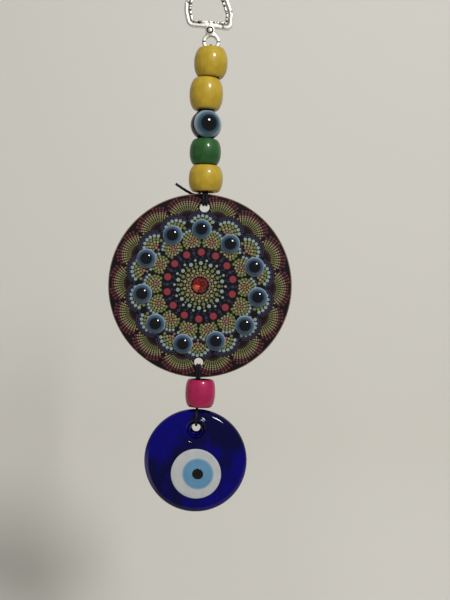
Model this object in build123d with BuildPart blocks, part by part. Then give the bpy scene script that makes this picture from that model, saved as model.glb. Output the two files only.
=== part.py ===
"""Evil eye wall hanging: a cast hanger, a string of beads, a printed disc with glued eyes,
and a glass eye bead below it, all carried one under the other on a knotted cord.

Units are millimetres and degrees. +Z is up, -Y is the front, and +X is to the right when the
ornament is seen from the front. The origin is the point where the nail carries the hanger.
"""

from build123d import *
import math
import os

os.makedirs("parts", exist_ok=True)

# ---------------------------------------------------------------- cast hanger
nail_to_eyelet = 17.8        # from the nail's contact down to the eyelet's centre
frame_bar = 2.4              # width of the bar around the opening
frame_thickness = 1.8
frame_edge_round = 0.3
# Corners of the outer outline, (x, height above the eyelet's centre, corner radius)
frame_corners = [
    (-7.9, 4.8, 2.4),
    (-9.4, 10.5, 9.0),
    (-7.4, nail_to_eyelet + frame_bar, 4.6),
    (2.6, nail_to_eyelet + frame_bar, 3.4),
    (6.9, 9.6, 5.0),
    (6.5, 4.2, 0.7),
]
groove_inset = 1.25          # from the outer edge to the groove
groove_width = 0.35
groove_depth = 0.35
dimple_inset = 0.55          # from the outer edge to the dimples' centres
dimple_dia = 0.8
dimple_depth = 0.3
dimple_count = 9
neck_top_width = 4.4
neck_bottom_width = 2.6
neck_thickness = 1.5
boss_dia = 2.9
boss_height = 0.35
boss_moat_dia = 2.4
boss_stud_dia = 1.6
boss_moat_depth = 0.3
boss_offset = -0.5           # the boss sits a little left of the eyelet
boss_rise = 3.7              # from the eyelet's centre up to the boss
eyelet_outer = 6.0
eyelet_wire = 1.3
notch_width = 0.25
notch_depth = 0.18
eyelet_sink = 1.05           # how far the eyelet dips into the top bead's bore

# ---------------------------------------------------------------- cords and knots
upper_cord = 0.92            # cord diameter between hanger and disc
lower_cord = 0.80            # cord diameter between disc and glass
cord_clear = 0.08            # between a cord and what it runs along
wrap_clear = 0.10            # between a cord and what it is wrapped around
lie_clear = 0.25             # between the cord and the curved glass
joint_clear = 0.06           # between the two ends that meet where a cord flexes
tail_clear = 0.17            # between the cord's cut end and the bead above it
tail_back_clear = 1.15       # between the cord's cut end and the disc's back
knot_dia = 3.4
small_knot_dia = 3.0
string_flex_drop = 1.45      # from the eyelet's bottom wire to where the string flexes
string_flex_radius = 1.04      # radius that the string's upper end turns within
lower_flex_radius = 1.0
knot_rise = 1.2              # knot centre above the bottom face of the lowest upper bead
lower_flex_dip = 1.2         # lower string's flex point below the pink bead's top face
small_knot_rise = 1.3        # small knot centre above the pink bead's bottom face
edge_rise = 0.35             # how far a loop runs straight past the disc's edge
loop_bend = 0.65             # bend radius of a loop at the rim of a hole
edge_bend = 0.8              # bend radius of a loop at the disc's edge

# ---------------------------------------------------------------- beads
barrel_bore = 5.4
barrel_mouth = 0.8           # rounding of the bore's mouths
yellow_top_size = (11.0, 9.85)       # diameter, length
yellow_second_size = (11.0, 10.4)
yellow_bottom_size = (11.2, 8.6)
green_size = (10.3, 8.4)
yellow_bottom_end_dia = 8.6
yellow_bottom_bore = 5.9     # wide, because the cord's cut end leaves through its mouth
pink_size = (9.8, 9.2)
wood_end_dia = 7.8           # end face of a wooden bead, before its shoulder is rounded
wood_shoulder = 0.5
pink_end_dia = 9.2
pink_shoulder = 0.85
pink_bore = 6.6              # wide, because the small knot and the loop's legs turn in it
pink_mouth = 0.4
bead_gap = 0.2
# The bores are wide, so each bead hangs a little to one side of the cord
yellow_top_shift = 0.2
yellow_second_shift = -0.9
eye_ball_shift = -0.6
green_shift = -0.5
yellow_bottom_shift = 0.0
pink_shift = 0.9
eye_ball = 10.2
eye_ball_length = 9.2
eye_ball_bore = 3.0
eye_ball_mouth = 0.25
eye_ball_white = 9.1         # outer diameters of the eye's rings
eye_ball_iris = 7.8
eye_ball_pupil = 6.0
eye_ball_inlay = 1.85        # from the ball's centre to the back of the inlaid eye
eye_ball_turn = 14.0         # the eye looks to the right

# ---------------------------------------------------------------- disc
disc_dia = 60.0
board_thickness = 2.85
print_thickness = 0.15
print_margin = 0.3           # bare rim of board around the print
board_edge_break = 0.15
disc_bead_gap = 0.7
disc_shift = -0.5            # the disc's centre lies left of its two holes
top_hole_dia = 3.3
top_hole_drop = 4.4          # from the disc's top edge down to the hole's centre
bottom_hole_dia = 3.0
bottom_hole_rise = 4.9       # from the disc's bottom edge up to the hole's centre
# Eleven eyes glued by hand around the middle, clockwise from the top: distance in from the
# disc's edge and how far each one strays from its even place, in degrees
eye_insets = [11.6, 13.2, 11.2, 10.8, 10.4, 11.2, 10.2, 10.9, 11.0, 10.5, 11.3]
eye_strays = [-0.5, 1.1, 3.6, 1.1, -1.5, -1.7, -2.2, -2.0, -2.0, 0.1, 2.0]
eye_dia = 6.4
eye_iris_dia = 5.3
eye_pupil_dia = 3.6
eye_height = 2.2
eye_rim = 0.35
eye_inlay = 0.7              # from the glued face to the back of the coloured layers
stone_dia = 5.0
stone_sides = 12
stone_girdle = 0.5
stone_crown = 1.0
stone_table_taper = 48

# ---------------------------------------------------------------- glass eye bead
glass_dia = 33.6
glass_front = 3.35           # front face's crown ahead of the cord's plane, at the middle
glass_back = 2.45            # back face's crown behind the cord's plane, at the middle
glass_rim_front = 2.6
glass_rim_back = 2.1
glass_rim_inset = 2.4        # from the outer edge to where the faces start
glass_bead_gap = 0.5
glass_shift = 0.2            # the glass's centre lies right of its hole
glass_hole_drop = 6.8        # from the glass's top edge down to the hole's centre
glass_hole_dia = 4.0
funnel_dia = 7.8
funnel_depth = 2.6
white_dia = 16.4
white_drop = 3.95             # from the glass's centre down to the white dot's centre
blue_dia = 9.9
white_shift = 0.6            # the dots sit right of the glass's hole
blue_shift = 1.2
pupil_shift = 1.15
pupil_dia = 3.7
dot_raise = 0.12             # how far the white dot stands out of the glass
white_depth = 1.5            # from the glass's front crown to the back of each dot
blue_depth = 1.0
pupil_depth = 0.6

# ---------------------------------------------------------------- places down the string
eyelet_z = -nail_to_eyelet
eyelet_mean = (eyelet_outer - eyelet_wire) / 2
wire_z = eyelet_z - eyelet_mean
string_flex_z = wire_z - string_flex_drop
top_bead_top = eyelet_z - eyelet_outer / 2 + eyelet_sink
second_bead_top = top_bead_top - yellow_top_size[1] - bead_gap
eye_bead_top = second_bead_top - yellow_second_size[1] - bead_gap
eye_bead_z = eye_bead_top - eye_ball_length / 2
green_bead_top = eye_bead_top - eye_ball_length - bead_gap
bottom_bead_top = green_bead_top - green_size[1] - bead_gap
bottom_bead_foot = bottom_bead_top - yellow_bottom_size[1]
knot_z = bottom_bead_foot + knot_rise
disc_top = bottom_bead_foot - disc_bead_gap
disc_z = disc_top - disc_dia / 2
disc_bottom = disc_top - disc_dia
top_hole_z = disc_top - top_hole_drop
bottom_hole_z = disc_bottom + bottom_hole_rise
pink_top = disc_bottom - disc_bead_gap
pink_foot = pink_top - pink_size[1]
lower_flex_z = pink_top - lower_flex_dip
small_knot_z = pink_foot + small_knot_rise
glass_top = pink_foot - glass_bead_gap
glass_z = glass_top - glass_dia / 2
glass_hole_z = glass_top - glass_hole_drop
white_z = glass_z - white_drop

disc_thickness = board_thickness + print_thickness
disc_face = -disc_thickness / 2
board_face = disc_face + print_thickness
disc_back = disc_thickness / 2
upper_r = upper_cord / 2
lower_r = lower_cord / 2


def finish(builder, label):
    """Name a piece and write it as its own STEP file."""
    builder.part.label = label
    export_step(builder.part, f"parts/{label}.step")


# ---------------------------------------------------------------- hanger

def frame_outline(inset):
    """The frame's outline, moved inwards by inset, in the plane of the hanger."""
    points = [(x, eyelet_z + height) for x, height, _ in frame_corners]
    radii = [radius for _, _, radius in frame_corners]
    with BuildSketch() as outline:
        with BuildLine():
            FilletPolyline(*points, radius=radii, close=True)
        make_face()
    if inset:
        return offset(outline.sketch, amount=-inset)
    return outline.sketch


def hanger_frame():
    """Cast frame with a grooved, dimpled face, a bossed neck and an eyelet below."""
    face = Plane.XZ.offset(frame_thickness / 2)
    outer_edge = frame_outline(0)
    opening = frame_outline(frame_bar)
    groove_edge = frame_outline(groove_inset)
    groove_inner_edge = frame_outline(groove_inset + groove_width)
    dimple_line = frame_outline(dimple_inset).wire()
    neck_bottom = eyelet_z + eyelet_mean
    neck_top = eyelet_z + frame_corners[-1][1] + frame_bar / 2
    with BuildPart() as hanger:
        with BuildSketch(Plane.XZ):
            add(outer_edge)
            add(opening, mode=Mode.SUBTRACT)
        extrude(amount=frame_thickness / 2, both=True)
        flat_faces = hanger.faces().filter_by(Axis.Y)
        fillet(flat_faces.edges(), radius=frame_edge_round)
        with BuildSketch(face):
            add(groove_edge)
            add(groove_inner_edge, mode=Mode.SUBTRACT)
        extrude(amount=-groove_depth, mode=Mode.SUBTRACT)
        ball = (dimple_dia**2 / 4 + dimple_depth**2) / (2 * dimple_depth)
        for number in range(dimple_count):
            spot = dimple_line @ (number / dimple_count)
            with Locations((spot.X, -frame_thickness / 2 - ball + dimple_depth, spot.Y)):
                Sphere(ball, mode=Mode.SUBTRACT)
        with BuildSketch(Plane.XZ):
            with BuildLine():
                Polyline(
                    (boss_offset - neck_top_width / 2, neck_top),
                    (boss_offset + neck_top_width / 2, neck_top),
                    (neck_bottom_width / 2, neck_bottom),
                    (-neck_bottom_width / 2, neck_bottom),
                    close=True,
                )
            make_face()
        extrude(amount=neck_thickness / 2, both=True)
        boss_plane = Plane.XZ.offset(neck_thickness / 2)
        boss_z = eyelet_z + boss_rise
        with BuildSketch(boss_plane):
            with Locations((boss_offset, boss_z)):
                Circle(boss_dia / 2)
        extrude(amount=boss_height)
        with BuildSketch(boss_plane.offset(boss_height)):
            with Locations((boss_offset, boss_z)):
                Circle(boss_moat_dia / 2)
                Circle(boss_stud_dia / 2, mode=Mode.SUBTRACT)
        extrude(amount=-boss_moat_depth, mode=Mode.SUBTRACT)
        with BuildSketch(Plane.XZ):
            with Locations((0, eyelet_z)):
                Circle(eyelet_mean)
        extrude(amount=neck_thickness, both=True, mode=Mode.SUBTRACT)
        ring_section = Plane.XY.offset(eyelet_z)
        with BuildSketch(ring_section):
            with Locations((eyelet_mean, 0)):
                Circle(eyelet_wire / 2)
        eyelet_axis = Axis((0, 0, eyelet_z), (0, 1, 0))
        revolve(axis=eyelet_axis)
        for side in (-1, 1):
            with BuildSketch(ring_section.offset(-notch_width / 2)):
                with Locations((side * eyelet_mean, 0)):
                    Circle(eyelet_wire / 2 + notch_depth)
                    Circle(eyelet_wire / 2 - notch_depth, mode=Mode.SUBTRACT)
            extrude(amount=notch_width, mode=Mode.SUBTRACT)
    return hanger


# ---------------------------------------------------------------- cords

def cord_along(points, bends, cord_radius, x, flex_points):
    """Cord swept along straight runs and arcs in the plane at x, trimmed at its flex points.

    Points are (y, z). Each flex point is (height, radius) of the ball that its end meets.
    """
    with BuildPart() as cord:
        with BuildLine(Plane.YZ.offset(x)) as route:
            FilletPolyline(*points, radius=bends)
        start = Plane(origin=route.line @ 0, z_dir=route.line % 0)
        with BuildSketch(start):
            Circle(cord_radius)
        sweep()
        for height, radius in flex_points:
            with Locations((0, 0, height)):
                Sphere(radius, mode=Mode.SUBTRACT)
    return cord.part


def string_bend():
    """The cord's turn through the eyelet, wrapped around the wire at its bottom."""
    wrap = eyelet_wire / 2 + wrap_clear + upper_r
    strand_y = upper_r + cord_clear / 4
    reach = math.hypot(strand_y, string_flex_drop)
    lean = math.degrees(math.atan2(-string_flex_drop, strand_y) + math.acos(wrap / reach))
    with BuildPart() as bend:
        with BuildLine(Plane.YZ) as route:
            turn = CenterArc((0, wire_z), wrap, lean, 180 - 2 * lean)
            Line((strand_y, string_flex_z), turn @ 0)
            Line(turn @ 1, (-strand_y, string_flex_z))
        start = Plane(origin=(0, strand_y, string_flex_z), z_dir=route.line % 0)
        with BuildSketch(start):
            Circle(upper_r)
        sweep()
        with Locations((0, 0, string_flex_z)):
            Sphere(string_flex_radius + joint_clear, mode=Mode.SUBTRACT)
    return bend


def strand_pair(cord_radius, axis_plane_offset, top, bottom, knot_radius, along_y):
    """Two straight strands side by side, their lower ends fitted to the knot below."""
    spread = [(0, -axis_plane_offset), (0, axis_plane_offset)]
    if not along_y:
        spread = [(-axis_plane_offset, 0), (axis_plane_offset, 0)]
    with BuildPart() as strands:
        with BuildSketch(Plane.XY.offset(top)):
            with Locations(*spread):
                Circle(cord_radius)
        extrude(amount=bottom - top)
        with Locations((0, 0, bottom)):
            Sphere(knot_radius + joint_clear, mode=Mode.SUBTRACT)
    return strands


def edge_loop(cord_radius, hole_z, hole_dia, edge_z, flex_z, flex_radius):
    """Cord passed twice through a hole of the disc and over its edge, towards flex_z."""
    outward = 1 if edge_z > hole_z else -1
    face_y = disc_back + cord_clear + cord_radius
    side_x = cord_radius + cord_clear / 4
    room = hole_dia / 2 - cord_radius - wrap_clear
    seat_z = hole_z + outward * math.sqrt(room**2 - side_x**2)
    edge_corner = edge_z + outward * edge_rise
    points = [
        (-cord_radius - cord_clear / 4, flex_z),
        (-face_y, edge_corner),
        (-face_y, seat_z),
        (face_y, seat_z),
        (face_y, edge_corner),
        (cord_radius + cord_clear / 4, flex_z),
    ]
    bends = [edge_bend, loop_bend, loop_bend, edge_bend]
    flex = [(flex_z, flex_radius + joint_clear)]
    with BuildPart() as loop:
        for side in (-side_x, side_x):
            add(cord_along(points, bends, cord_radius, side, flex))
    return loop


def glass_loop():
    """Single cord from the small knot over the glass's front, through its hole and back."""
    front_y = -(glass_front + cord_clear + lower_r)
    back_y = glass_back + cord_clear + lower_r
    seat_z = glass_hole_z + glass_hole_dia / 2 - lower_r - wrap_clear
    throat_y = -glass_front + funnel_depth
    points = [
        (-lower_r, small_knot_z),
        (front_y, glass_top - 2.0),
        (front_y, seat_z + 0.7),
        (throat_y, seat_z),
        (back_y, seat_z),
        (back_y, glass_top - 1.4),
        (lower_r, small_knot_z),
    ]
    bends = [1.8, 1.4, 1.2, loop_bend, 1.8]
    flex = [(small_knot_z, small_knot_dia / 2 + joint_clear)]
    with BuildPart() as loop:
        add(cord_along(points, bends, lower_r, 0, flex))
    return loop


def knot(diameter, height):
    """Tight round knot."""
    with BuildPart() as ball:
        with Locations((0, 0, height)):
            Sphere(diameter / 2)
    return ball


def cord_tail():
    """Cut end of the cord, from the knot down behind the disc and out to the left."""
    below_bead = bottom_bead_foot - upper_r - tail_clear
    behind = disc_back + upper_r + tail_back_clear
    points = [
        (-1.15, 0.3, knot_z - 0.5),
        (-2.05, behind, below_bead),
        (-4.0, behind + 0.55, below_bead),
        (-7.0, behind + 0.85, below_bead + 1.6),
        (-10.0, behind + 1.0, below_bead + 3.5),
    ]
    bends = [1.3, 3.2, 12.0]
    with BuildPart() as tail:
        with BuildLine() as route:
            FilletPolyline(*points, radius=bends)
        with BuildSketch(Plane(origin=route.line @ 0, z_dir=route.line % 0)):
            Circle(upper_r)
        sweep()
        with Locations((0, 0, knot_z)):
            Sphere(knot_dia / 2, mode=Mode.SUBTRACT)
    return tail


# ---------------------------------------------------------------- beads

def barrel_bead(size, end_dia, shoulder, top, shift, bore=barrel_bore, mouth=barrel_mouth):
    """Turned bead with bulging sides, flat ends and a bore with rounded mouths."""
    diameter, length = size
    foot = top - length
    end_r = end_dia / 2
    bore_r = bore / 2
    with BuildPart() as bead:
        with BuildSketch(Plane(origin=(shift, 0, 0), x_dir=(1, 0, 0), z_dir=(0, -1, 0))):
            with BuildLine():
                ThreePointArc((end_r, foot), (diameter / 2, foot + length / 2), (end_r, top))
                Polyline((end_r, top), (bore_r, top), (bore_r, foot), (end_r, foot))
            make_face()
        revolve(axis=Axis((shift, 0, 0), (0, 0, 1)))
        mouths = bead.faces().filter_by(Axis.Z).edges().sort_by(SortBy.RADIUS)[:2]
        fillet(mouths, radius=mouth)
        shoulders = bead.faces().filter_by(Axis.Z).edges().sort_by(SortBy.RADIUS)[2:]
        fillet(shoulders, radius=shoulder)
    return bead


def eye_ball_shape():
    """Ball of the eye bead with flat ends and a bore along the string."""
    half = eye_ball_length / 2
    end_r = math.sqrt(eye_ball**2 / 4 - half**2)
    bore_r = eye_ball_bore / 2
    with BuildPart() as ball:
        with BuildSketch(Plane(origin=(eye_ball_shift, 0, 0), x_dir=(1, 0, 0),
                               z_dir=(0, -1, 0))):
            with BuildLine():
                ThreePointArc(
                    (end_r, eye_bead_z - half),
                    (eye_ball / 2, eye_bead_z),
                    (end_r, eye_bead_z + half),
                )
                Polyline(
                    (end_r, eye_bead_z + half),
                    (bore_r, eye_bead_z + half),
                    (bore_r, eye_bead_z - half),
                    (end_r, eye_bead_z - half),
                )
            make_face()
        revolve(axis=Axis((eye_ball_shift, 0, 0), (0, 0, 1)))
        mouths = ball.faces().filter_by(Axis.Z).edges().sort_by(SortBy.RADIUS)[:2]
        fillet(mouths, radius=eye_ball_mouth)
    return ball.part


def eye_ball_layer(outer, inner):
    """Ring or disc of the eye bead's eye, cut out of the ball."""
    turn = math.radians(eye_ball_turn)
    look = Plane(origin=(eye_ball_shift, 0, eye_bead_z),
                 z_dir=(math.sin(turn), -math.cos(turn), 0))
    with BuildPart() as layer:
        add(eye_ball_shape())
        with BuildSketch(look.offset(eye_ball_inlay)):
            Circle(outer / 2)
            if inner:
                Circle(inner / 2, mode=Mode.SUBTRACT)
        extrude(amount=eye_ball, mode=Mode.INTERSECT)
    return layer


def eye_ball_body():
    """Dark ball of the eye bead with a round pocket for the eye."""
    turn = math.radians(eye_ball_turn)
    look = Plane(origin=(eye_ball_shift, 0, eye_bead_z),
                 z_dir=(math.sin(turn), -math.cos(turn), 0))
    with BuildPart() as body:
        add(eye_ball_shape())
        with BuildSketch(look.offset(eye_ball_inlay)):
            Circle(eye_ball_white / 2)
        extrude(amount=eye_ball, mode=Mode.SUBTRACT)
    return body


# ---------------------------------------------------------------- disc

def disc_holes():
    """The disc's two cord holes, as a sketch in the plane of the disc."""
    with BuildSketch() as holes:
        with Locations((0, top_hole_z)):
            Circle(top_hole_dia / 2)
        with Locations((0, bottom_hole_z)):
            Circle(bottom_hole_dia / 2)
    return holes.sketch


def disc_board():
    """Round fibreboard with its edges broken and two holes."""
    with BuildPart() as board:
        with BuildSketch(Plane.XZ.offset(-board_face)):
            with Locations((disc_shift, disc_z)):
                Circle(disc_dia / 2)
            add(disc_holes(), mode=Mode.SUBTRACT)
        extrude(amount=-board_thickness)
        rims = board.edges().filter_by(GeomType.CIRCLE).group_by(SortBy.RADIUS)[-1]
        chamfer(rims, length=board_edge_break)
    return board


def disc_print():
    """Printed sheet on the front of the board."""
    with BuildPart() as sheet:
        with BuildSketch(Plane.XZ.offset(-board_face)):
            with Locations((disc_shift, disc_z)):
                Circle(disc_dia / 2 - print_margin)
            add(disc_holes(), mode=Mode.SUBTRACT)
        extrude(amount=print_thickness)
    return sheet


def eye_layer(place, outer, inner, back):
    """Layer of a glued eye: outer and inner diameters, from back to its domed front."""
    cap = eye_height - eye_rim
    ball = (eye_dia**2 / 4 + cap**2) / (2 * cap)
    with BuildPart() as layer:
        with BuildSketch(place.offset(back)):
            Circle(outer / 2)
            if inner:
                Circle(inner / 2, mode=Mode.SUBTRACT)
        extrude(amount=eye_height)
        with Locations(place.offset(eye_height - ball)):
            Sphere(ball, mode=Mode.INTERSECT)
    return layer


def eye_body(place):
    """Pale outer shell of a glued eye: its rim, and its floor under the coloured layers."""
    shell = eye_layer(place, eye_dia, 0, 0)
    with BuildPart() as body:
        add(shell.part)
        with BuildSketch(place.offset(eye_inlay)):
            Circle(eye_iris_dia / 2)
        extrude(amount=eye_height, mode=Mode.SUBTRACT)
    return body


def centre_stone():
    """Faceted stone: a many-sided girdle under a tapered crown with a flat table."""
    seat = Plane(origin=(disc_shift, disc_face, disc_z), x_dir=(1, 0, 0), z_dir=(0, -1, 0))
    with BuildPart() as stone:
        with BuildSketch(seat):
            RegularPolygon(stone_dia / 2, stone_sides)
        extrude(amount=stone_girdle)
        with BuildSketch(seat.offset(stone_girdle)):
            RegularPolygon(stone_dia / 2, stone_sides)
        extrude(amount=stone_crown, taper=stone_table_taper)
    return stone


# ---------------------------------------------------------------- glass

def glass_lens(raise_front):
    """Thick round lens with a full edge, its front moved out by raise_front."""
    radius = glass_dia / 2
    flat_r = radius - glass_rim_inset
    rim_front = (flat_r, glass_rim_front + raise_front)
    rim_back = (flat_r, -glass_rim_back)
    edge = (radius, (glass_rim_front - glass_rim_back) / 2)
    middle = flat_r / 2
    front_middle = (middle, glass_front - (glass_front - glass_rim_front) / 4 + raise_front)
    back_middle = (middle, -glass_back + (glass_back - glass_rim_back) / 4)
    lens_plane = Plane(origin=(glass_shift, 0, glass_z), x_dir=(1, 0, 0), z_dir=(0, 0, 1))
    with BuildPart() as lens:
        with BuildSketch(lens_plane):
            with BuildLine():
                ThreePointArc((0, -glass_front - raise_front), (front_middle[0], -front_middle[1]),
                              (rim_front[0], -rim_front[1]))
                ThreePointArc((rim_front[0], -rim_front[1]), (edge[0], -edge[1]),
                              (rim_back[0], -rim_back[1]))
                ThreePointArc((rim_back[0], -rim_back[1]), (back_middle[0], -back_middle[1]),
                              (0, glass_back))
                Line((0, glass_back), (0, -glass_front - raise_front))
            make_face()
        revolve(axis=Axis((glass_shift, 0, glass_z), (0, 1, 0)))
    return lens.part


def front_dot(diameter, x, z, back, hollow_diameter, hollow_x, hollow_back):
    """Round dot set into the glass's front, hollowed for the dot that lies on it."""
    with BuildPart() as dot:
        add(glass_lens(dot_raise))
        with BuildSketch(Plane.XZ.offset(back)):
            with Locations((x, z)):
                Circle(diameter / 2)
        extrude(amount=glass_front, mode=Mode.INTERSECT)
        if hollow_diameter:
            with BuildSketch(Plane.XZ.offset(hollow_back)):
                with Locations((hollow_x, z)):
                    Circle(hollow_diameter / 2)
            extrude(amount=glass_front, mode=Mode.SUBTRACT)
    return dot


def nazar_body():
    """Cobalt glass with a funnelled cord hole and a pocket for the white dot."""
    throat_y = -glass_front + funnel_depth
    with BuildPart() as body:
        add(glass_lens(0))
        with BuildSketch(Plane.XZ.offset(glass_front - white_depth)):
            with Locations((white_shift, white_z)):
                Circle(white_dia / 2)
        extrude(amount=glass_front, mode=Mode.SUBTRACT)
        with BuildSketch(Plane.XZ):
            with Locations((0, glass_hole_z)):
                Circle(glass_hole_dia / 2)
        extrude(amount=glass_front + glass_back, both=True, mode=Mode.SUBTRACT)
        funnel_plane = Plane(origin=(0, 0, glass_hole_z), x_dir=(1, 0, 0), z_dir=(0, 0, 1))
        with BuildSketch(funnel_plane):
            with BuildLine():
                Polyline((0, throat_y), (glass_hole_dia / 2, throat_y))
                ThreePointArc(
                    (glass_hole_dia / 2, throat_y),
                    (glass_hole_dia / 2 + 0.55, throat_y - funnel_depth * 0.6),
                    (funnel_dia / 2, -glass_front - 0.01),
                )
                Polyline((funnel_dia / 2, -glass_front - 0.01), (0, -glass_front - 0.01),
                         (0, throat_y))
            make_face()
        revolve(axis=Axis((0, 0, glass_hole_z), (0, 1, 0)), mode=Mode.SUBTRACT)
    return body


# ---------------------------------------------------------------- all pieces

finish(hanger_frame(), "hanger_frame")

strand_y = upper_r + cord_clear / 4
strand_x = lower_r + cord_clear / 4
string_top = string_flex_z + math.sqrt(string_flex_radius**2 - (strand_y + upper_r) ** 2)
lower_top = lower_flex_z + math.sqrt(lower_flex_radius**2 - (strand_x + lower_r) ** 2)
finish(string_bend(), "upper_cord_bend")
finish(strand_pair(upper_r, strand_y, string_top, knot_z, knot_dia / 2, True),
       "upper_cord_strands")
finish(knot(knot_dia, knot_z), "upper_knot")
finish(cord_tail(), "cord_tail")
finish(edge_loop(upper_r, top_hole_z, top_hole_dia, disc_top, knot_z, knot_dia / 2),
       "disc_top_loop")

wooden = (wood_end_dia, wood_shoulder)
finish(barrel_bead(yellow_top_size, *wooden, top_bead_top, yellow_top_shift),
       "bead_yellow_top")
finish(barrel_bead(yellow_second_size, *wooden, second_bead_top, yellow_second_shift),
       "bead_yellow_second")
finish(barrel_bead(green_size, *wooden, green_bead_top, green_shift), "bead_green")
finish(barrel_bead(yellow_bottom_size, yellow_bottom_end_dia, wood_shoulder, bottom_bead_top,
                   yellow_bottom_shift, yellow_bottom_bore),
       "bead_yellow_bottom")
finish(barrel_bead(pink_size, pink_end_dia, pink_shoulder, pink_top, pink_shift,
                   pink_bore, pink_mouth),
       "bead_pink")

finish(eye_ball_body(), "eye_bead_body")
finish(eye_ball_layer(eye_ball_white, eye_ball_iris), "eye_bead_white")
finish(eye_ball_layer(eye_ball_iris, eye_ball_pupil), "eye_bead_iris")
finish(eye_ball_layer(eye_ball_pupil, 0), "eye_bead_pupil")

finish(disc_board(), "disc_board")
finish(disc_print(), "disc_print")
finish(centre_stone(), "centre_stone")
for number, (inset, stray) in enumerate(zip(eye_insets, eye_strays)):
    bearing = math.radians(number * 360 / len(eye_insets) + stray)
    reach = disc_dia / 2 - inset
    right = disc_shift + reach * math.sin(bearing)
    centre = (right, disc_face, disc_z + reach * math.cos(bearing))
    place = Plane(origin=centre, x_dir=(1, 0, 0), z_dir=(0, -1, 0))
    label = f"eye_{number + 1:02d}"
    finish(eye_body(place), f"{label}_body")
    finish(eye_layer(place, eye_iris_dia, eye_pupil_dia, eye_inlay), f"{label}_iris")
    finish(eye_layer(place, eye_pupil_dia, 0, eye_inlay), f"{label}_pupil")

finish(edge_loop(lower_r, bottom_hole_z, bottom_hole_dia, disc_bottom, lower_flex_z,
                 lower_flex_radius), "disc_bottom_loop")
finish(strand_pair(lower_r, strand_x, lower_top, small_knot_z, small_knot_dia / 2, False),
       "lower_cord_strands")
finish(knot(small_knot_dia, small_knot_z), "lower_knot")
finish(glass_loop(), "glass_loop")

finish(nazar_body(), "nazar_body")
finish(front_dot(white_dia, white_shift, white_z, glass_front - white_depth, blue_dia,
                 blue_shift, glass_front - blue_depth), "nazar_white")
finish(front_dot(blue_dia, blue_shift, white_z, glass_front - blue_depth, pupil_dia,
                 pupil_shift, glass_front - pupil_depth), "nazar_blue")
finish(front_dot(pupil_dia, pupil_shift, white_z, glass_front - pupil_depth, 0, 0, 0),
       "nazar_pupil")
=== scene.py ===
"""Looks of the evil eye wall hanging, built around its solids.

Lengths are in millimetres until a mesh is made. -Y is the front, +Z is up. The sections are:
finishes, shapes, camera and light, cast hanger, beads, cords and knots, disc, glass eye.
"""

import math

import bmesh
import bpy
import numpy as np
from mathutils import Matrix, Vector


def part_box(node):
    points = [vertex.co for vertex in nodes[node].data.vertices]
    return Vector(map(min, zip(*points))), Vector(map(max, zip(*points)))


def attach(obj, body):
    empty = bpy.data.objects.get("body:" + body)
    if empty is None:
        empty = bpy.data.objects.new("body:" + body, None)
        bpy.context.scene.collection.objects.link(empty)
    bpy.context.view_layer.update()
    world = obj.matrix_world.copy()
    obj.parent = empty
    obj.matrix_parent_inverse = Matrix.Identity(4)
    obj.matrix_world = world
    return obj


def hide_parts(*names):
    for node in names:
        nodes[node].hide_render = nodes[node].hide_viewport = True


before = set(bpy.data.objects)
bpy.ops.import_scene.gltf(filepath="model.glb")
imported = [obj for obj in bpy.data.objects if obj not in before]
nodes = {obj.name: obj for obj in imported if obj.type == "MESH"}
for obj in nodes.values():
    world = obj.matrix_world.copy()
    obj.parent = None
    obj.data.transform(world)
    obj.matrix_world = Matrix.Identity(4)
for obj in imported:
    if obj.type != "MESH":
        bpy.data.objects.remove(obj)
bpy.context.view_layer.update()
scene = bpy.context.scene
MM = 0.001
TURN = 2 * math.pi


def box(node):
    """Lowest and highest corner of a node's box, in millimetres."""
    return np.array(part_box(node)) / MM


def middle(node):
    """Centre of a node's box."""
    return box(node).mean(0)


def half_size(node):
    """Half the size of a node's box."""
    low, high = box(node)
    return (high - low) / 2


def heights(node):
    """Lowest and highest Z of a node's box."""
    return box(node)[:, 2]


# ---------------- finishes


def paint(red, green, blue):
    """A colour of three numbers from 0 to 255, as the shader wants it: linear, up to 1."""
    share = np.array([red, green, blue]) / 255
    linear = np.where(share <= 0.04045, share / 12.92, ((share + 0.055) / 1.055) ** 2.4)
    return (*linear.tolist(), 1.0)


def both_ways(operation):
    """An operator of two terms inside a finish, and its reflected form."""
    def plain(self, other):
        return self.finish.node("Math", {"operation": operation}, {0: self, 1: other})

    def reflected(self, other):
        return self.finish.node("Math", {"operation": operation}, {0: other, 1: self})

    return plain, reflected


class Amount:
    """A number, colour or vector inside a finish, used in ordinary arithmetic."""

    __add__, __radd__ = both_ways("ADD")
    __sub__, __rsub__ = both_ways("SUBTRACT")
    __mul__, __rmul__ = both_ways("MULTIPLY")
    __pow__, __rpow__ = both_ways("POWER")

    def __init__(self, finish, socket):
        self.finish = finish
        self.socket = socket

    def rise(self, low, high):
        """0 below low, 1 above high, and a smooth step between them."""
        settings = {"interpolation_type": "SMOOTHSTEP"}
        return self.finish.node("MapRange", settings, {0: self, 1: low, 2: high})


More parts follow.
